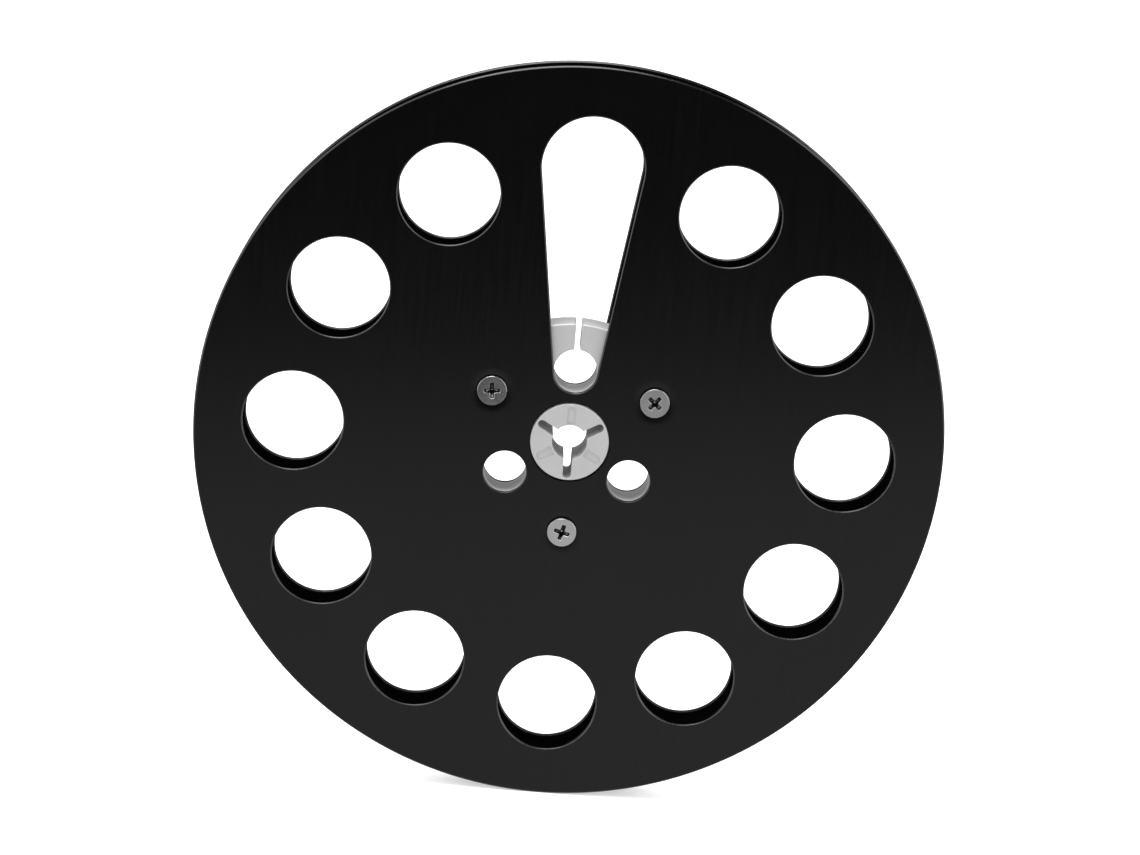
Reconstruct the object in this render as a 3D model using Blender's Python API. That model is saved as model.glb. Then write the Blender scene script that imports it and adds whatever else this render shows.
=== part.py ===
"""Seven-inch open tape reel: two pierced flanges clamped to a hub by six screws.

The reel stands upright. Its spin axis is Y, its front faces -Y and its keyhole points to +Z. The origin
is on the spin axis, half-way between the flanges. All sizes are in metres.
"""

import math

import bmesh
import bpy

# Flanges
FLANGE_RADIUS = 0.0889
FLANGE_THICKNESS = 0.0012
FLANGE_SPACING = 0.0082
HOLE_PLACES = 12
HOLE_CIRCLE_RADIUS = 0.0655
HOLE_RADIUS = 0.0119

# Hub
BARREL_RADIUS = 0.0283
BOSS_RADIUS = 0.00927
BOSS_STANDS_PROUD = 0.0003
BORE_RADIUS = 0.00415
KEY_SLOT_WIDTH = 0.0020
KEY_SLOT_REACH = 0.00885
KEY_SLOT_ANGLES = (180.0, 60.0, -60.0)
WINDOW_RADIUS = 0.0051
WINDOW_CIRCLE_RADIUS = 0.0170
WINDOW_ANGLES = (0.0, 120.0, -120.0)
TAPE_SLOT_WIDTH = 0.0014

# Screws
SCREW_CIRCLE_RADIUS = 0.0222
SCREW_ANGLES = {"left": -60.0, "right": 60.0, "bottom": 180.0}
SCREW_HEAD_RADIUS = 0.00345
SCREW_HEAD_TOP = 0.0008
SCREW_SHANK_RADIUS = 0.00145
SCREW_REACH = 0.0045
SCREW_TIP_CHAMFER = 0.0004
RECESS_ARM = 0.0019
RECESS_HALF_WIDTH = 0.00045
RECESS_DEPTH = 0.0003
RECESS_TURN = {
    ("front", "left"): -5.0,
    ("front", "right"): 40.0,
    ("front", "bottom"): 15.0,
    ("rear", "left"): 21.0,
    ("rear", "right"): 58.0,
    ("rear", "bottom"): -16.0,
}

# Space left between neighbouring pieces
GAP = 0.0003

# Derived places along the spin axis
FLANGE_MIDDLE = (FLANGE_SPACING + FLANGE_THICKNESS) / 2
OUTER_FACE = FLANGE_MIDDLE + FLANGE_THICKNESS / 2
BARREL_HALF_WIDTH = FLANGE_SPACING / 2 - GAP
BOSS_HALF_WIDTH = OUTER_FACE + BOSS_STANDS_PROUD
SCREW_HOLE_RADIUS = SCREW_SHANK_RADIUS + GAP
SCREW_HOLE_FLOOR = OUTER_FACE - SCREW_REACH - GAP

# Facets in a full turn of each round shape
RIM_FACETS = 96
HOLE_FACETS = 32
WINDOW_FACETS = 24
BARREL_FACETS = 72
BOSS_FACETS = 48
SCREW_FACETS = 24
SLOT_END_FACETS = 8

SMOOTH_BELOW = math.radians(30.0)


def at_angle(radius, degrees):
    """The (x, z) place at a radius and at an angle measured clockwise from +Z, seen from the front."""
    angle = math.radians(degrees)
    return radius * math.sin(angle), radius * math.cos(angle)


def arc(centre, radius, start, stop, facets):
    """Points along an arc, both ends included, with its angles measured as in at_angle."""
    points = []
    for step in range(facets + 1):
        x, z = at_angle(radius, start + (stop - start) * step / facets)
        points.append((centre[0] + x, centre[1] + z))
    return points


def circle(centre, radius, facets):
    """Points round a full circle."""
    return arc(centre, radius, 0.0, 360.0, facets)[:-1]


def turned(points, degrees):
    """Points turned clockwise about the spin axis."""
    c = math.cos(math.radians(degrees))
    s = math.sin(math.radians(degrees))
    return [(x * c + z * s, z * c - x * s) for x, z in points]


def keyhole_outline():
    """A window and the large hole straight above it, joined by the lines that touch both circles."""
    low = (0.0, WINDOW_CIRCLE_RADIUS)
    high = (0.0, HOLE_CIRCLE_RADIUS)
    lean = math.degrees(math.asin((HOLE_RADIUS - WINDOW_RADIUS) / (high[1] - low[1])))
    top = arc(high, HOLE_RADIUS, -90.0 - lean, 90.0 + lean, HOLE_FACETS // 2)
    foot = arc(low, WINDOW_RADIUS, 90.0 + lean, 270.0 - lean, WINDOW_FACETS // 2)
    return top + foot


def bore_outline():
    """The spindle bore with its three key slots, which have round ends."""
    half = KEY_SLOT_WIDTH / 2
    mouth = math.degrees(math.asin(half / BORE_RADIUS))
    slot_end = arc((0.0, KEY_SLOT_REACH - half), half, -90.0, 90.0, SLOT_END_FACETS)
    wall = arc((0.0, 0.0), BORE_RADIUS, mouth, 120.0 - mouth, BOSS_FACETS // 4)
    points = []
    for angle in sorted(KEY_SLOT_ANGLES):
        points += turned(slot_end + wall, angle)
    return points


def barrel_outline():
    """The barrel's circle, cut by the tape slot that runs down into the upper window."""
    half = TAPE_SLOT_WIDTH / 2
    mouth = math.degrees(math.asin(half / BARREL_RADIUS))
    throat = math.degrees(math.asin(half / WINDOW_RADIUS))
    barrel = arc((0.0, 0.0), BARREL_RADIUS, mouth, 360.0 - mouth, BARREL_FACETS)
    window = arc((0.0, WINDOW_CIRCLE_RADIUS), WINDOW_RADIUS, 360.0 - throat, throat, WINDOW_FACETS)
    return barrel + window


def cross_outline(arm, half_width, turn):
    """A cross with four equal arms."""
    points = []
    for quarter in range(4):
        points += turned([(-half_width, arm), (half_width, arm), (half_width, half_width)], 90.0 * quarter)
    return turned(points, turn)


def ring(mesh, outline, y):
    """The vertices and edges of a closed outline, laid on the plane at y."""
    verts = [mesh.verts.new((x, y, z)) for x, z in outline]
    for a, b in zip(verts, verts[1:] + verts[:1]):
        mesh.edges.new((a, b))
    return verts


def wall(mesh, near, far):
    """Quads between two rings that have the same number of vertices."""
    for i in range(len(near)):
        j = (i + 1) % len(near)
        mesh.faces.new((near[i], near[j], far[j], far[i]))


def cap(mesh, *rings):
    """A flat face bounded by the largest ring and pierced by the others."""
    edges = []
    for verts in rings:
        edges += [mesh.edges.get(pair) for pair in zip(verts, verts[1:] + verts[:1])]
    bmesh.ops.triangle_fill(mesh, use_beauty=True, use_dissolve=False, edges=edges)


def finished(mesh, name):
    """The closed body as mesh data, with its faces outward and its round faces smooth."""
    bmesh.ops.recalc_face_normals(mesh, faces=mesh.faces[:])
    data = bpy.data.meshes.new(name)
    mesh.to_mesh(data)
    mesh.free()
    data.shade_smooth()
    data.set_sharp_from_angle(angle=SMOOTH_BELOW)
    return data


def flange_mesh():
    """A disc about its own middle plane, with every opening that runs through it."""
    outlines = [circle((0.0, 0.0), FLANGE_RADIUS, RIM_FACETS), keyhole_outline()]
    for place in range(1, HOLE_PLACES):
        centre = at_angle(HOLE_CIRCLE_RADIUS, place * 360.0 / HOLE_PLACES)
        outlines.append(circle(centre, HOLE_RADIUS, HOLE_FACETS))
    for angle in WINDOW_ANGLES[1:]:
        outlines.append(circle(at_angle(WINDOW_CIRCLE_RADIUS, angle), WINDOW_RADIUS, WINDOW_FACETS))
    for angle in SCREW_ANGLES.values():
        outlines.append(circle(at_angle(SCREW_CIRCLE_RADIUS, angle), SCREW_HOLE_RADIUS, SCREW_FACETS))
    outlines.append(circle((0.0, 0.0), BOSS_RADIUS + GAP, BOSS_FACETS))

    mesh = bmesh.new()
    front = [ring(mesh, outline, -FLANGE_THICKNESS / 2) for outline in outlines]
    back = [ring(mesh, outline, FLANGE_THICKNESS / 2) for outline in outlines]
    cap(mesh, *front)
    cap(mesh, *back)
    for near, far in zip(front, back):
        wall(mesh, near, far)
    return finished(mesh, "flange")


def hub_mesh():
    """The barrel with a boss on each side, the slotted bore, the windows and six blind screw holes."""
    windows = []
    for angle in WINDOW_ANGLES[1:]:
        windows.append(circle(at_angle(WINDOW_CIRCLE_RADIUS, angle), WINDOW_RADIUS, WINDOW_FACETS))
    through = [barrel_outline()] + windows
    boss = circle((0.0, 0.0), BOSS_RADIUS, BOSS_FACETS)

    mesh = bmesh.new()
    bore_ends = []
    barrel_ends = []
    for side in (-1.0, 1.0):
        bore = ring(mesh, bore_outline(), side * BOSS_HALF_WIDTH)
        boss_rim = ring(mesh, boss, side * BOSS_HALF_WIDTH)
        boss_foot = ring(mesh, boss, side * BARREL_HALF_WIDTH)
        cap(mesh, boss_rim, bore)
        wall(mesh, boss_rim, boss_foot)
        openings = [ring(mesh, outline, side * BARREL_HALF_WIDTH) for outline in through]
        screw_mouths = []
        for angle in SCREW_ANGLES.values():
            hole = circle(at_angle(SCREW_CIRCLE_RADIUS, angle), SCREW_HOLE_RADIUS, SCREW_FACETS)
            mouth = ring(mesh, hole, side * BARREL_HALF_WIDTH)
            floor = ring(mesh, hole, side * SCREW_HOLE_FLOOR)
            wall(mesh, mouth, floor)
            cap(mesh, floor)
            screw_mouths.append(mouth)
        cap(mesh, *openings, boss_foot, *screw_mouths)
        bore_ends.append(bore)
        barrel_ends.append(openings)
    wall(mesh, *bore_ends)
    for near, far in zip(*barrel_ends):
        wall(mesh, near, far)
    return finished(mesh, "hub")


def screw_mesh(recess_turn):
    """A screw whose seat is the plane y = 0: thin flat head towards -Y, shank towards +Y."""
    mesh = bmesh.new()
    centre = (0.0, 0.0)
    head = circle(centre, SCREW_HEAD_RADIUS, SCREW_FACETS)
    shank = circle(centre, SCREW_SHANK_RADIUS, SCREW_FACETS)
    tip = circle(centre, SCREW_SHANK_RADIUS - SCREW_TIP_CHAMFER, SCREW_FACETS)
    cross = cross_outline(RECESS_ARM, RECESS_HALF_WIDTH, recess_turn)
    head_rim = ring(mesh, head, -SCREW_HEAD_TOP)
    recess_mouth = ring(mesh, cross, -SCREW_HEAD_TOP)
    recess_floor = ring(mesh, cross, RECESS_DEPTH - SCREW_HEAD_TOP)
    outside = [
        head_rim,
        ring(mesh, head, -GAP),
        ring(mesh, shank, -GAP),
        ring(mesh, shank, SCREW_REACH - SCREW_TIP_CHAMFER),
        ring(mesh, tip, SCREW_REACH),
    ]
    cap(mesh, head_rim, recess_mouth)
    wall(mesh, recess_mouth, recess_floor)
    cap(mesh, recess_floor)
    for near, far in zip(outside, outside[1:]):
        wall(mesh, near, far)
    cap(mesh, outside[-1])
    return finished(mesh, "screw")


def material(name, color, roughness, metallic):
    """A plain Principled material."""
    made = bpy.data.materials.new(name)
    made.use_nodes = True
    shader = made.node_tree.nodes["Principled BSDF"]
    shader.inputs["Base Color"].default_value = (*color, 1.0)
    shader.inputs["Roughness"].default_value = roughness
    shader.inputs["Metallic"].default_value = metallic
    made.diffuse_color = (*color, 1.0)
    return made


def place(name, data, finish, parent, location, half_turn=False):
    """A named piece at its place on the reel, turned to face the rear where half_turn is set."""
    piece = bpy.data.objects.new(name, data)
    bpy.context.scene.collection.objects.link(piece)
    if not data.materials:
        data.materials.append(finish)
    piece.material_slots[0].link = "OBJECT"
    piece.material_slots[0].material = finish
    piece.parent = parent
    piece.location = location
    piece.rotation_euler = (0.0, 0.0, math.pi if half_turn else 0.0)
    return piece


def build():
    for old in list(bpy.data.objects):
        bpy.data.objects.remove(old, do_unlink=True)

    reel = bpy.data.objects.new("reel", None)
    bpy.context.scene.collection.objects.link(reel)

    flange = flange_mesh()
    for name, y in (("front_flange", -FLANGE_MIDDLE), ("rear_flange", FLANGE_MIDDLE)):
        black = material(name, (0.016, 0.016, 0.017), 0.38, 0.6)
        place(name, flange, black, reel, (0.0, y, 0.0))

    bare = material("hub", (0.78, 0.78, 0.77), 0.36, 1.0)
    place("hub", hub_mesh(), bare, reel, (0.0, 0.0, 0.0))

    for (face, side), turn in RECESS_TURN.items():
        name = f"{face}_screw_{side}"
        steel = material(name, (0.42, 0.41, 0.40), 0.30, 1.0)
        x, z = at_angle(SCREW_CIRCLE_RADIUS, SCREW_ANGLES[side])
        y = OUTER_FACE if face == "rear" else -OUTER_FACE
        place(name, screw_mesh(turn), steel, reel, (x, y, z), half_turn=face == "rear")


build()
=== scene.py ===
"""The looks of the seven-inch open tape reel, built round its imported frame.

The reel stands upright on a pale floor. Its spin axis is Y, its front faces -Y and its keyhole points to
+Z. Every piece here has the size and place of the CAD node that it replaces, with the machined edges,
recesses and finishes that the plain solids leave out. All sizes are in metres.
"""

import math

import bmesh
import bpy
from mathutils import Matrix, Vector


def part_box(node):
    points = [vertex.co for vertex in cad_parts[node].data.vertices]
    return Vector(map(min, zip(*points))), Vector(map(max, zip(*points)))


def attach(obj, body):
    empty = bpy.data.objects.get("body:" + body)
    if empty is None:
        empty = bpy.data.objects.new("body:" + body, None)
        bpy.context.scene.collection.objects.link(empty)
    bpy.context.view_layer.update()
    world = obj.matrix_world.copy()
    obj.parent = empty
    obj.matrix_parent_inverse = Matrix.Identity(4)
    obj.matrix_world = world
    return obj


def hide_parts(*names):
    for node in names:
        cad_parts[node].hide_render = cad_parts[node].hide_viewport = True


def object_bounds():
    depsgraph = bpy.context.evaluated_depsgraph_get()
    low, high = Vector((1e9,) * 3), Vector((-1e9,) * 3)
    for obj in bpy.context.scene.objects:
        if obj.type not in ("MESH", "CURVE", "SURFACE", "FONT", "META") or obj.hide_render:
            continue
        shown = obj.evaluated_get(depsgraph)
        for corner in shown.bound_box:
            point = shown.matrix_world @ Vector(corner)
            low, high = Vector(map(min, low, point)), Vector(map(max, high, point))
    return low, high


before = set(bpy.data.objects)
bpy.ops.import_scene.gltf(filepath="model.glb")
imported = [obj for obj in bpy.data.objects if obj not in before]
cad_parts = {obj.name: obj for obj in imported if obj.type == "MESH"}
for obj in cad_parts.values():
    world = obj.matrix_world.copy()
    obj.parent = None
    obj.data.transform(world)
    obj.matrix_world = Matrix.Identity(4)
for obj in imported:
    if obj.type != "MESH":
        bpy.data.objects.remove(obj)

cad_low, cad_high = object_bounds()

# Places read from the frame
FLANGE_LOW, FLANGE_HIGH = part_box("front_flange")
HUB_LOW, HUB_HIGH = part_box("hub")
OUTER_FACE = -FLANGE_LOW.y
INNER_FACE = -FLANGE_HIGH.y
FLANGE_RADIUS = FLANGE_HIGH.x
BARREL_RADIUS = HUB_HIGH.x
BOSS_FACE = HUB_HIGH.y

# Openings of the flanges and the hub, as in the CAD
HOLE_PLACES = 12
HOLE_CIRCLE_RADIUS = 0.0655
HOLE_RADIUS = 0.0119
BOSS_RADIUS = 0.00927
BORE_RADIUS = 0.00415
KEY_SLOT_WIDTH = 0.0020
KEY_SLOT_REACH = 0.00885
KEY_SLOT_ANGLES = (180.0, 60.0, -60.0)
WINDOW_RADIUS = 0.0051
WINDOW_CIRCLE_RADIUS = 0.0170
WINDOW_ANGLES = (0.0, 120.0, -120.0)
TAPE_SLOT_WIDTH = 0.0014
SCREW_CIRCLE_RADIUS = 0.0222
SCREW_ANGLES = {"left": -60.0, "right": 60.0, "bottom": 180.0}
SCREW_SHANK_RADIUS = 0.00145
SCREW_HOLE_RADIUS = 0.0016
SCREW_REACH = 0.0045
SCREW_TIP_BREAK = 0.0004
SCREW_END_GAP = 0.0004

# Space left between pieces that touch, and between the reel and the floor
CONTACT_GAP = 0.00002

# Shallow landings between the key slots, where the spindle's keys rest when it is locked
LANDING_DEPTH = 0.00024
LANDING_START = 0.00455
LANDING_REACH = 0.0086
LANDING_SLOPE = 0.00007

# A flange's centre hole is stepped. It stands clear of the boss by STEP_WIDTH down to STEP_DEPTH, and by
# BOSS_FIT below that.
STEP_WIDTH = 0.00048
STEP_DEPTH = 0.0009
BOSS_FIT = 0.0001

# Each screw head stands in a counterbore of its flange, which the screw has drawn in a little round it.
# Each pair is a radius about the screw and how far the flange has dipped there.
SEAT_DEPTH = 0.0009
SEAT_DIP = (
    (0.00540, 0.0),
    (0.00495, 0.000009),
    (0.00455, 0.000027),
    (0.00415, 0.000055),
    (0.00380, 0.000086),
)

# How far each machined edge is broken
RIM_BREAK = 0.00042
HOLE_BREAK = 0.00026
WINDOW_BREAK = 0.00016
CENTRE_BREAK = 0.00004
HUB_BREAK = 0.00026
BOSS_BREAK = 0.00015
BORE_BREAK = 0.00010
SCREW_BREAK = 0.00005

# The hub's windows and tape slot are broken less than its rim, by these shares of HUB_BREAK
HUB_WINDOW_SHARE = 0.5
TAPE_SLOT_SHARE = 0.3

# An edge break is a 45 degree chamfer with softened corners. Each pair is the distance back from the edge
# along the face and the depth below the face, as shares of the break.
BREAK_PROFILE = ((1.12, 0.0), (0.88, 0.12), (0.12, 0.88), (0.0, 1.12))

# Cross recess: arm length, half-width of an arm and depth below the head, from the mouth to the floor
RECESS_STEPS = (
    (0.00195, 0.00054, 0.0),
    (0.00190, 0.00049, 0.00004),
    (0.00184, 0.00045, 0.00060),
    (0.00095, 0.00036, 0.00105),
    (0.00020, 0.00012, 0.00150),
)
RECESS_TURN = {
    ("front", "left"): -5.0,
    ("front", "right"): 40.0,
    ("front", "bottom"): 15.0,
    ("rear", "left"): 21.0,
    ("rear", "right"): 58.0,
    ("rear", "bottom"): -16.0,
}

# How far each screw head leans out of square, upwards if positive
SCREW_LEAN = {
    ("front", "left"): 3.3,
    ("front", "right"): 0.1,
    ("front", "bottom"): -0.6,
    ("rear", "left"): 0.3,
    ("rear", "right"): -0.5,
    ("rear", "bottom"): 0.8,
}

# Facets in a full turn of each round shape
RIM_FACETS = 360
HOLE_FACETS = 128
WINDOW_FACETS = 96
BARREL_FACETS = 240
BOSS_FACETS = 160
SCREW_FACETS = 96
SLOT_END_FACETS = 16

# Camera
CAMERA_AIM = (0.0, 0.0, 0.0022)
CAMERA_DISTANCE = 0.6636
CAMERA_AZIMUTH = -2.01
CAMERA_ELEVATION = 14.37
CAMERA_ROLL = 5.01
CAMERA_LENS = 88.02

# Stage. The table card, which the flange mirrors, lies just below the floor and leans as the camera does.
FLOOR_HALF_WIDTH = 6.0
TABLE_CARD_DROP = 0.0005

# The span that most values of the noise lie in
NOISE_SPAN = (0.3, 0.7)


def at_angle(radius, degrees):
    """The (x, z) place at a radius and at an angle measured clockwise from +Z, seen from the front."""
    angle = math.radians(degrees)
    return radius * math.sin(angle), radius * math.cos(angle)


def arc(centre, radius, start, stop, facets):
    """Points along an arc, both ends included, with its angles measured as in at_angle."""
    points = []
    for step in range(facets + 1):
        x, z = at_angle(radius, start + (stop - start) * step / facets)
        points.append((centre[0] + x, centre[1] + z))
    return points


def turned(points, degrees):
    """Points turned clockwise about the spin axis."""
    c = math.cos(math.radians(degrees))
    s = math.sin(math.radians(degrees))
    return [(x * c + z * s, z * c - x * s) for x, z in points]


# Outlines. Each takes how far the outline is to grow, so that one function gives every ring of an edge.


def circle(centre, radius, facets):
    """A full circle."""
    return lambda grow: arc(centre, radius + grow, 0.0, 360.0, facets)[:-1]


def keyhole(grow):
    """A window and the large hole straight above it, joined by the lines that touch both circles."""
    low = (0.0, WINDOW_CIRCLE_RADIUS)
    high = (0.0, HOLE_CIRCLE_RADIUS)
    lean = math.degrees(math.asin((HOLE_RADIUS - WINDOW_RADIUS) / (high[1] - low[1])))
    top = arc(high, HOLE_RADIUS + grow, -90.0 - lean, 90.0 + lean, HOLE_FACETS // 2)
    foot = arc(low, WINDOW_RADIUS + grow, 90.0 + lean, 270.0 - lean, WINDOW_FACETS // 2)
    return top + foot


def bore(grow):
    """The spindle bore with its three key slots, which have round ends."""
    half = KEY_SLOT_WIDTH / 2 + grow
    radius = BORE_RADIUS + grow
    mouth = math.degrees(math.asin(half / radius))
    slot_end = arc((0.0, KEY_SLOT_REACH - KEY_SLOT_WIDTH / 2), half, -90.0, 90.0, SLOT_END_FACETS)
    side = arc((0.0, 0.0), radius, mouth, 120.0 - mouth, BOSS_FACETS // 4)
    points = []
    for angle in sorted(KEY_SLOT_ANGLES):
        points += turned(slot_end + side, angle)
    return points


def barrel(grow):
    """The barrel's circle, cut by the tape slot that runs down into the upper window."""
    half = TAPE_SLOT_WIDTH / 2 - grow * TAPE_SLOT_SHARE
    window_radius = WINDOW_RADIUS - grow * HUB_WINDOW_SHARE
    radius = BARREL_RADIUS + grow
    mouth = math.degrees(math.asin(half / radius))
    throat = math.degrees(math.asin(half / window_radius))
    outside = arc((0.0, 0.0), radius, mouth, 360.0 - mouth, BARREL_FACETS)
    window = arc((0.0, WINDOW_CIRCLE_RADIUS), window_radius, 360.0 - throat, throat, WINDOW_FACETS)
    return outside + window


def landing(angle):
    """A shallow landing: straight sides, a square inner end and a round outer end."""
    half = KEY_SLOT_WIDTH / 2

    def outline(grow):
        start = LANDING_START - grow
        outer_end = arc((0.0, LANDING_REACH - half), half + grow, -90.0, 90.0, SLOT_END_FACETS)
        return turned([(half + grow, start), (-half - grow, start)] + outer_end, angle)

    return outline


def cross(arm, half_width, turn):
    """A cross recess: four arms with eased tips, and a small flat across each inner corner."""
    ease = half_width * 0.35
    points = []
    for quarter in range(4):
        arm_points = [
            (-half_width, arm - ease),
            (-half_width + ease, arm),
            (half_width - ease, arm),
            (half_width, arm - ease),
            (half_width, half_width + ease),
            (half_width + ease, half_width),
        ]
        points += turned(arm_points, 90.0 * quarter)
    return turned(points, turn)


# Mesh building


def ring(mesh, points, y):
    """The vertices and edges of a closed outline, laid on the plane at y."""
    verts = [mesh.verts.new((x, y, z)) for x, z in points]
    for a, b in zip(verts, verts[1:] + verts[:1]):
        mesh.edges.new((a, b))
    return verts


def wall(mesh, near, far, finish=0):
    """Smooth quads between two rings of as many vertices. finish is a place in the piece's finishes."""
    for i in range(len(near)):
        j = (i + 1) % len(near)
        face = mesh.faces.new((near[i], near[j], far[j], far[i]))
        face.smooth = True
        face.material_index = finish


def walls(mesh, rings, finish=0):
    """Smooth quads through a row of rings."""
    for near, far in zip(rings, rings[1:]):
        wall(mesh, near, far, finish)


def cap(mesh, *rings):
    """A flat face bounded by the largest ring and pierced by the others."""
    edges = []
    for verts in rings:
        edges += [mesh.edges.get(pair) for pair in zip(verts, verts[1:] + verts[:1])]
    bmesh.ops.triangle_fill(mesh, use_beauty=True, use_dissolve=False, edges=edges)


def sharpen(mesh, verts):
    """Stops the shading from running smoothly across a ring."""
    for pair in zip(verts, verts[1:] + verts[:1]):
        mesh.edges.get(pair).smooth = False


def broken_edge(mesh, outline, face, inward, size, sign):
    """Rings from a face round its broken edge to the wall. sign is 1 for an opening and -1 for a rim."""
    rings = []
    for back, depth in BREAK_PROFILE:
        rings.append(ring(mesh, outline(sign * back * size), face + inward * depth * size))
    return rings


def passage(mesh, outline, near_face, far_face, size, sign, edge_finish=0, wall_finish=0):
    """The wall of a through opening or a rim, both its edges broken. Returns its two face rings."""
    inward = math.copysign(1.0, far_face - near_face)
    near = broken_edge(mesh, outline, near_face, inward, size, sign)
    far = broken_edge(mesh, outline, far_face, -inward, size, sign)
    walls(mesh, near, edge_finish)
    walls(mesh, far, edge_finish)
    wall(mesh, near[-1], far[-1], wall_finish)
    return near[0], far[0]


def piece(mesh, name, node, slot, *finishes):
    """A shown piece that stands for a CAD node and rides on the reel. Its caps have the first finish."""
    bmesh.ops.recalc_face_normals(mesh, faces=mesh.faces[:])
    data = bpy.data.meshes.new(name)
    mesh.to_mesh(data)
    mesh.free()
    for finish in finishes:
        data.materials.append(finish)
    made = bpy.data.objects.new(name, data)
    bpy.context.scene.collection.objects.link(made)
    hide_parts(node)
    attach(made, "root")


# Pieces


def screw_seat(mesh, centre, outer, inner):
    """A screw's dip, counterbore and shank hole in a flange. Returns its two face rings."""
    inward = math.copysign(1.0, inner - outer)
    floor = outer + inward * SEAT_DEPTH
    steps = [(radius, outer + inward * dip) for radius, dip in SEAT_DIP]
    steps += [(SEAT_DIP[-1][0], floor), (SCREW_HOLE_RADIUS, floor), (SCREW_HOLE_RADIUS, inner)]
    rings = [ring(mesh, circle(centre, radius, SCREW_FACETS)(0.0), y) for radius, y in steps]
    walls(mesh, rings)
    for corner in rings[-4:-1]:
        sharpen(mesh, corner)
    return rings[0], rings[-1]


def boss_seat(mesh, outer, inner):
    """The stepped hole in a flange that a boss of the hub stands in. Returns its two face rings."""
    inward = math.copysign(1.0, inner - outer)
    wide = circle((0.0, 0.0), BOSS_RADIUS + STEP_WIDTH, BOSS_FACETS)
    close = circle((0.0, 0.0), BOSS_RADIUS + BOSS_FIT, BOSS_FACETS)
    rings = broken_edge(mesh, wide, outer, inward, CENTRE_BREAK, 1.0)
    rings.append(ring(mesh, wide(0.0), outer + inward * STEP_DEPTH))
    rings.append(ring(mesh, close(0.0), outer + inward * STEP_DEPTH))
    rings.append(ring(mesh, close(0.0), inner))
    walls(mesh, rings)
    for corner in rings[-3:-1]:
        sharpen(mesh, corner)
    return rings[0], rings[-1]


def flange(face, finish, worn_finish):
    """A disc with every opening that runs through it, all edges broken and those of the openings worn."""
    side = -1.0 if face == "front" else 1.0
    outer = side * OUTER_FACE
    inner = side * INNER_FACE
    mesh = bmesh.new()
    ends = [passage(mesh, circle((0.0, 0.0), FLANGE_RADIUS, RIM_FACETS), outer, inner, RIM_BREAK, -1.0)]
    ends.append(passage(mesh, keyhole, outer, inner, HOLE_BREAK, 1.0, edge_finish=1))
    for place in range(1, HOLE_PLACES):
        hole = circle(at_angle(HOLE_CIRCLE_RADIUS, place * 360.0 / HOLE_PLACES), HOLE_RADIUS, HOLE_FACETS)
        ends.append(passage(mesh, hole, outer, inner, HOLE_BREAK, 1.0, edge_finish=1))
    for angle in WINDOW_ANGLES[1:]:
        window = circle(at_angle(WINDOW_CIRCLE_RADIUS, angle), WINDOW_RADIUS, WINDOW_FACETS)
        ends.append(passage(mesh, window, outer, inner, WINDOW_BREAK, 1.0, edge_finish=1))
    ends.append(boss_seat(mesh, outer, inner))
    for angle in SCREW_ANGLES.values():
        ends.append(screw_seat(mesh, at_angle(SCREW_CIRCLE_RADIUS, angle), outer, inner))
    for rings in zip(*ends):
        cap(mesh, *rings)
    piece(mesh, f"{face}_disc", f"{face}_flange", "black_flange", finish, worn_finish)


def hub(finish, painted_light_finish):
    """The barrel with its two bosses, slotted bore, windows, tape slot and blind screw holes."""
    mesh = bmesh.new()
    face = INNER_FACE - CONTACT_GAP
    # The barrel band, tape slot and window walls take the second finish. It is a lighter copy of the
    # aluminium, painted light that stands in for light those walls get too little of.
    painted_light_walls = {"edge_finish": 1, "wall_finish": 1}
    bore_ends = passage(mesh, bore, -BOSS_FACE, BOSS_FACE, BORE_BREAK, 1.0)
    barrel_ends = passage(mesh, barrel, -face, face, HUB_BREAK, -1.0, **painted_light_walls)
    window_ends = []
    for angle in WINDOW_ANGLES[1:]:
        window = circle(at_angle(WINDOW_CIRCLE_RADIUS, angle), WINDOW_RADIUS, WINDOW_FACETS)
        window_ends.append(passage(mesh, window, -face, face, HUB_BREAK * HUB_WINDOW_SHARE, 1.0, **painted_light_walls))
    for end, side in enumerate((-1.0, 1.0)):
        boss = circle((0.0, 0.0), BOSS_RADIUS, BOSS_FACETS)
        boss_rings = broken_edge(mesh, boss, side * BOSS_FACE, -side, BOSS_BREAK, -1.0)
        boss_rings.append(ring(mesh, boss(0.0), side * face))
        walls(mesh, boss_rings)
        landings = []
        for angle in WINDOW_ANGLES:
            mouth = ring(mesh, landing(angle)(LANDING_SLOPE), side * BOSS_FACE)
            floor = ring(mesh, landing(angle)(0.0), side * (BOSS_FACE - LANDING_DEPTH))
            wall(mesh, mouth, floor)
            cap(mesh, floor)
            landings.append(mouth)
        cap(mesh, boss_rings[0], bore_ends[end], *landings)
        screw_mouths = []
        for angle in SCREW_ANGLES.values():
            hole = circle(at_angle(SCREW_CIRCLE_RADIUS, angle), SCREW_HOLE_RADIUS, SCREW_FACETS)(0.0)
            mouth = ring(mesh, hole, side * face)
            floor = ring(mesh, hole, side * (OUTER_FACE - SCREW_REACH - SCREW_END_GAP))
            wall(mesh, mouth, floor)
            cap(mesh, floor)
            screw_mouths.append(mouth)
        windows = [ends[end] for ends in window_ends]
        cap(mesh, barrel_ends[end], boss_rings[-1], *windows, *screw_mouths)
    piece(mesh, "turned_hub", "hub", "bare_hub", finish, painted_light_finish)


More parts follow.
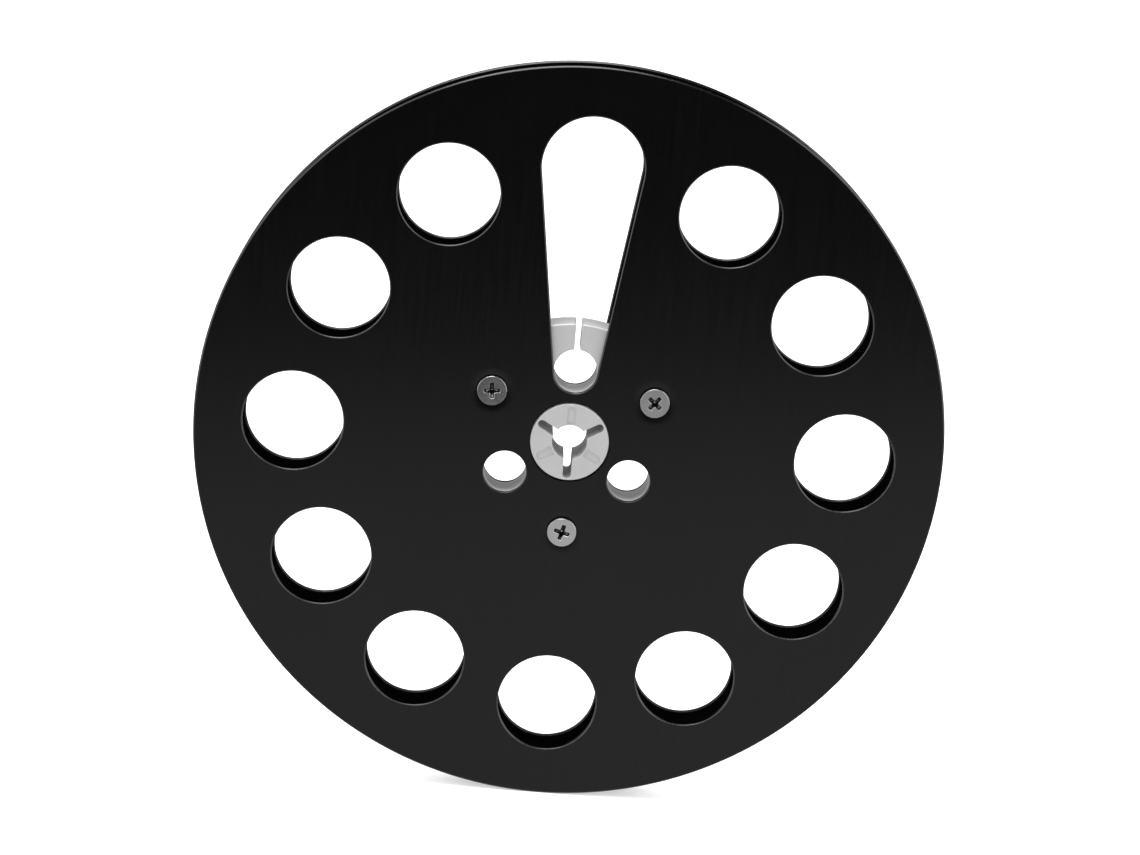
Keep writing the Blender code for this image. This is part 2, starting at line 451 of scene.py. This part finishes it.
def screw(face, side, finish, recess_shade_finish):
    """A screw with a thin flat head, a broken rim and a tapered cross recess whose deeper walls carry
    painted shade.
    """
    node = f"{face}_screw_{side}"
    low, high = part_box(node)
    middle = (low + high) / 2
    outward = -1.0 if face == "front" else 1.0
    top = low.y if face == "front" else high.y
    seat = outward * (OUTER_FACE - SEAT_DEPTH + CONTACT_GAP)
    head_radius = (high.x - low.x) / 2
    lean = math.tan(math.radians(SCREW_LEAN[face, side]))

    mesh = bmesh.new()
    head = circle((middle.x, middle.z), head_radius, SCREW_FACETS)
    rings = broken_edge(mesh, head, top, -outward, SCREW_BREAK, -1.0)
    recess = []
    for arm, half_width, depth in RECESS_STEPS:
        outline = cross(arm, half_width, RECESS_TURN[face, side])
        outline = [(x + middle.x, z + middle.z) for x, z in outline]
        recess.append(ring(mesh, outline, top - outward * depth))
    for verts in rings + recess:
        for vert in verts:
            vert.co.y -= outward * (abs(lean) * head_radius + lean * (vert.co.z - middle.z))
    cap(mesh, rings[0], recess[0])
    wall(mesh, recess[0], recess[1])
    # The deeper walls of the recess take the second finish, a dark copy of the steel that is painted shade.
    walls(mesh, recess[1:], finish=1)
    cap(mesh, recess[-1])
    shank = circle((middle.x, middle.z), SCREW_SHANK_RADIUS, SCREW_FACETS)
    rings.append(ring(mesh, head(0.0), seat))
    rings.append(ring(mesh, shank(0.0), seat))
    tip = outward * (OUTER_FACE - SCREW_REACH)
    rings += reversed(broken_edge(mesh, shank, tip, outward, SCREW_TIP_BREAK, -1.0))
    walls(mesh, rings)
    for corner in rings[4:6]:
        sharpen(mesh, corner)
    cap(mesh, rings[-1])
    piece(mesh, f"{face}_flat_screw_{side}", node, "screw", finish, recess_shade_finish)


# Materials


class Nodes:
    """One material and short ways to build its node tree."""

    def __init__(self, name):
        self.material = bpy.data.materials.new(name)
        self.material.use_nodes = True
        self.tree = self.material.node_tree
        self.shader = self.tree.nodes["Principled BSDF"]
        self.place = self.add("ShaderNodeTexCoord").outputs["Object"]

    def add(self, kind, **settings):
        node = self.tree.nodes.new(kind)
        for name, value in settings.items():
            setattr(node, name, value)
        return node

    def link(self, source, target):
        self.tree.links.new(source, target)

    def constant(self, **values):
        for name, value in values.items():
            self.shader.inputs[name.replace("_", " ")].default_value = value

    def stretched_noise(self, scale, detail=3.0, roughness=0.55, turn=(0.0, 0.0, 0.0), vector=None):
        """Noise whose grain is as fine along each axis as the three scales say, in cycles per metre."""
        mapping = self.add("ShaderNodeMapping")
        mapping.inputs["Scale"].default_value = scale
        mapping.inputs["Rotation"].default_value = turn
        noise = self.add("ShaderNodeTexNoise")
        noise.inputs["Scale"].default_value = 1.0
        noise.inputs["Detail"].default_value = detail
        noise.inputs["Roughness"].default_value = roughness
        self.link(self.place if vector is None else vector, mapping.inputs["Vector"])
        self.link(mapping.outputs["Vector"], noise.inputs["Vector"])
        return noise.outputs["Fac"]

    def spread(self, noise, low, high):
        """Noise brought from its usual span into low to high."""
        node = self.add("ShaderNodeMapRange")
        node.inputs["From Min"].default_value, node.inputs["From Max"].default_value = NOISE_SPAN
        node.inputs["To Min"].default_value = low
        node.inputs["To Max"].default_value = high
        self.link(noise, node.inputs["Value"])
        return node.outputs["Result"]

    def math(self, operation, *values):
        node = self.add("ShaderNodeMath", operation=operation)
        for socket, value in zip(node.inputs, values):
            if isinstance(value, (int, float)):
                socket.default_value = value
            else:
                self.link(value, socket)
        return node.outputs["Value"]

    def blend_greys(self, factor, low, high):
        """A base colour that runs from one grey to another."""
        node = self.add("ShaderNodeMix", data_type="RGBA")
        self.link(factor, node.inputs["Factor"])
        node.inputs["A"].default_value = (low, low, low, 1.0)
        node.inputs["B"].default_value = (high, high, high, 1.0)
        self.link(node.outputs["Result"], self.shader.inputs["Base Color"])

    def bump(self, height, distance):
        """A fine relief, as deep as the distance where the height is 1."""
        node = self.add("ShaderNodeBump")
        node.inputs["Distance"].default_value = distance
        self.link(height, node.inputs["Height"])
        self.link(node.outputs["Normal"], self.shader.inputs["Normal"])


def black_anodised(name, roughness, low, high):
    """Black anodised aluminium over fine straight brushing that runs up and down the disc."""
    nodes = Nodes(name)
    nodes.constant(Metallic=0.0, IOR=1.4)
    brushing = nodes.stretched_noise((2200.0, 900.0, 45.0), detail=3.0, roughness=0.6)
    cloud = nodes.stretched_noise((28.0, 28.0, 28.0), detail=3.0)
    grain = nodes.math("ADD", nodes.spread(brushing, -0.022, 0.022), nodes.spread(cloud, -0.015, 0.02))
    nodes.link(nodes.math("ADD", grain, roughness), nodes.shader.inputs["Roughness"])
    nodes.link(nodes.spread(brushing, 0.475, 0.525), nodes.shader.inputs["Specular IOR Level"])
    nodes.blend_greys(brushing, low, high)
    nodes.bump(brushing, 0.0000007)
    return nodes.material


def bare_aluminium(name, low, high):
    """Machined aluminium, lightly etched: faint rings about the spin axis under a fine even grain."""
    nodes = Nodes(name)
    nodes.constant(Metallic=0.25)
    split = nodes.add("ShaderNodeSeparateXYZ")
    nodes.link(nodes.place, split.inputs["Vector"])
    x, y, z = (split.outputs[axis] for axis in "XYZ")
    squares = nodes.math("ADD", nodes.math("MULTIPLY", x, x), nodes.math("MULTIPLY", z, z))
    radius = nodes.math("SQRT", squares)
    turning = nodes.add("ShaderNodeCombineXYZ")
    nodes.link(radius, turning.inputs["X"])
    nodes.link(y, turning.inputs["Y"])
    turned_place = turning.outputs["Vector"]
    rings = nodes.stretched_noise((3800.0, 3800.0, 1.0), detail=3.0, roughness=0.6, vector=turned_place)
    etch = nodes.stretched_noise((2200.0, 2200.0, 2200.0), detail=2.0)
    cloud = nodes.stretched_noise((160.0, 160.0, 160.0), detail=3.0)
    grain = nodes.math("ADD", nodes.spread(rings, -0.03, 0.03), nodes.spread(cloud, -0.02, 0.03))
    nodes.link(nodes.math("ADD", grain, 0.52), nodes.shader.inputs["Roughness"])
    nodes.blend_greys(cloud, low, high)
    nodes.bump(nodes.math("ADD", nodes.math("MULTIPLY", rings, 0.6), etch), 0.000003)
    return nodes.material


def plated_steel(name, low, high):
    """Nickel-plated steel with a few handling marks."""
    nodes = Nodes(name)
    nodes.constant(Metallic=1.0)
    marks = nodes.stretched_noise((900.0, 900.0, 4200.0), detail=4.0, roughness=0.7, turn=(0.0, 0.6, 0.0))
    cloud = nodes.stretched_noise((700.0, 700.0, 700.0), detail=3.0)
    grain = nodes.math("ADD", nodes.spread(marks, -0.03, 0.05), nodes.spread(cloud, -0.02, 0.04))
    nodes.link(nodes.math("ADD", grain, 0.28), nodes.shader.inputs["Roughness"])
    nodes.blend_greys(cloud, low, high)
    nodes.bump(marks, 0.000002)
    return nodes.material


def floor_paint():
    """Plain matt white that glows a little, which keeps the reel's shadow faint."""
    nodes = Nodes("floor_paint")
    nodes.constant(Roughness=0.9, Emission_Color=(1.0, 1.0, 1.0, 1.0), Emission_Strength=0.3)
    cloud = nodes.stretched_noise((6.0, 6.0, 6.0), detail=2.0)
    nodes.blend_greys(cloud, 0.86, 0.88)
    return nodes.material


# Stage, light and camera


def floor():
    """A wide pale floor that the rim just meets."""
    mesh = bmesh.new()
    bmesh.ops.create_grid(mesh, x_segments=8, y_segments=8, size=FLOOR_HALF_WIDTH)
    data = bpy.data.meshes.new("floor")
    mesh.to_mesh(data)
    mesh.free()
    data.materials.append(floor_paint())
    made = bpy.data.objects.new("floor", data)
    made.location = (0.0, 0.0, cad_low.z - CONTACT_GAP)
    made.visible_glossy = False
    bpy.context.scene.collection.objects.link(made)


def softbox(name, location, aim, size, power):
    """A rectangular area light that faces a point."""
    data = bpy.data.lights.new(name, "AREA")
    data.shape = "RECTANGLE"
    data.size, data.size_y = size
    data.energy = power
    made = bpy.data.objects.new(name, data)
    made.location = location
    made.rotation_mode = "QUATERNION"
    made.rotation_quaternion = (Vector(aim) - Vector(location)).to_track_quat("-Z", "Y")
    bpy.context.scene.collection.objects.link(made)


def card(name, size, location, turn, glow, reach):
    """A studio card that only satin and polished surfaces see.

    It is turned about the world's Y by some degrees. Across the two reaches along its own Y, measured from
    its middle, its glow falls from strength to nothing.
    """
    nodes = Nodes(name)
    split = nodes.add("ShaderNodeSeparateXYZ")
    nodes.link(nodes.place, split.inputs["Vector"])
    away = nodes.math("ABSOLUTE", split.outputs["Y"])
    fade = nodes.add("ShaderNodeMapRange", interpolation_type="SMOOTHSTEP")
    nodes.link(away, fade.inputs["Value"])
    fade.inputs["From Min"].default_value, fade.inputs["From Max"].default_value = reach
    fade.inputs["To Min"].default_value = glow
    fade.inputs["To Max"].default_value = 0.0
    nodes.constant(Base_Color=(0.0, 0.0, 0.0, 1.0), Specular_IOR_Level=0.0, Roughness=1.0)
    nodes.constant(Emission_Color=(1.0, 1.0, 1.0, 1.0))
    nodes.link(fade.outputs["Result"], nodes.shader.inputs["Emission Strength"])
    mesh = bmesh.new()
    stretch = Matrix.Diagonal((*size, 1.0, 1.0))
    bmesh.ops.create_grid(mesh, x_segments=2, y_segments=2, size=0.5, matrix=stretch)
    data = bpy.data.meshes.new(name)
    mesh.to_mesh(data)
    mesh.free()
    data.materials.append(nodes.material)
    made = bpy.data.objects.new(name, data)
    made.location = location
    made.rotation_euler = (0.0, math.radians(turn), 0.0)
    made.visible_camera = False
    made.visible_diffuse = False
    made.visible_shadow = False
    bpy.context.scene.collection.objects.link(made)


def lights():
    """A soft overhead light, cards for the metal to reflect, and an even pale room for the floor."""
    softbox("overhead", (-0.17, -0.12, 1.05), aim=(-0.02, -0.05, 0.0), size=(0.56, 0.70), power=13.0)
    table = (0.0, 0.0, cad_low.z - TABLE_CARD_DROP)
    card("table_card", (3.0, 2.4), table, turn=-CAMERA_ROLL, glow=0.67, reach=(0.32, 0.54))
    card("left_card", (0.9, 0.7), (-0.5, -0.05, 0.36), turn=90.0, glow=2.6, reach=(0.2, 0.35))
    card("right_card", (0.9, 0.7), (0.5, -0.05, 0.36), turn=90.0, glow=3.4, reach=(0.2, 0.35))
    world = bpy.data.worlds.new("room")
    world.use_nodes = True
    world.node_tree.nodes["Background"].inputs["Color"].default_value = (1.0, 1.0, 1.0, 1.0)
    world.node_tree.nodes["Background"].inputs["Strength"].default_value = 1.45
    world.cycles_visibility.glossy = False
    bpy.context.scene.world = world
    bpy.context.scene.view_settings.view_transform = "Standard"


def camera():
    """A long lens a little above the spin axis, turned so that the keyhole leans to the right."""
    azimuth = math.radians(CAMERA_AZIMUTH)
    elevation = math.radians(CAMERA_ELEVATION)
    back = Vector((
        math.sin(azimuth) * math.cos(elevation),
        -math.cos(azimuth) * math.cos(elevation),
        math.sin(elevation),
    ))
    turn = (-back).to_track_quat("-Z", "Y").to_matrix() @ Matrix.Rotation(math.radians(CAMERA_ROLL), 3, "Z")
    data = bpy.data.cameras.new("camera")
    data.lens = CAMERA_LENS
    data.sensor_width = 36.0
    data.clip_start = 0.01
    made = bpy.data.objects.new("camera", data)
    made.location = Vector(CAMERA_AIM) + back * CAMERA_DISTANCE
    made.rotation_euler = turn.to_euler()
    bpy.context.scene.collection.objects.link(made)
    bpy.context.scene.camera = made


camera()
black = black_anodised("black_anodised", roughness=0.24, low=0.0010, high=0.0020)
worn_black = black_anodised("worn_black_edge", roughness=0.28, low=0.010, high=0.030)
turned_metal = bare_aluminium("bare_aluminium", low=0.318, high=0.354)
# Painted light: a lighter copy of the bare aluminium for the barrel band and the hub's window walls,
# standing in for light that reaches them too weakly.
painted_light_metal = bare_aluminium("painted_light_aluminium", low=0.39, high=0.44)
steel = plated_steel("plated_steel", low=0.58, high=0.67)
# Painted shade: a dark copy of the plated steel for the inside walls of the cross recesses, standing in for
# the shade in them.
painted_shade_steel = plated_steel("painted_shade_steel", low=0.10, high=0.20)

hub(turned_metal, painted_light_metal)
for face in ("front", "rear"):
    flange(face, black, worn_black)
    for side in SCREW_ANGLES:
        screw(face, side, steel, painted_shade_steel)
floor()
lights()
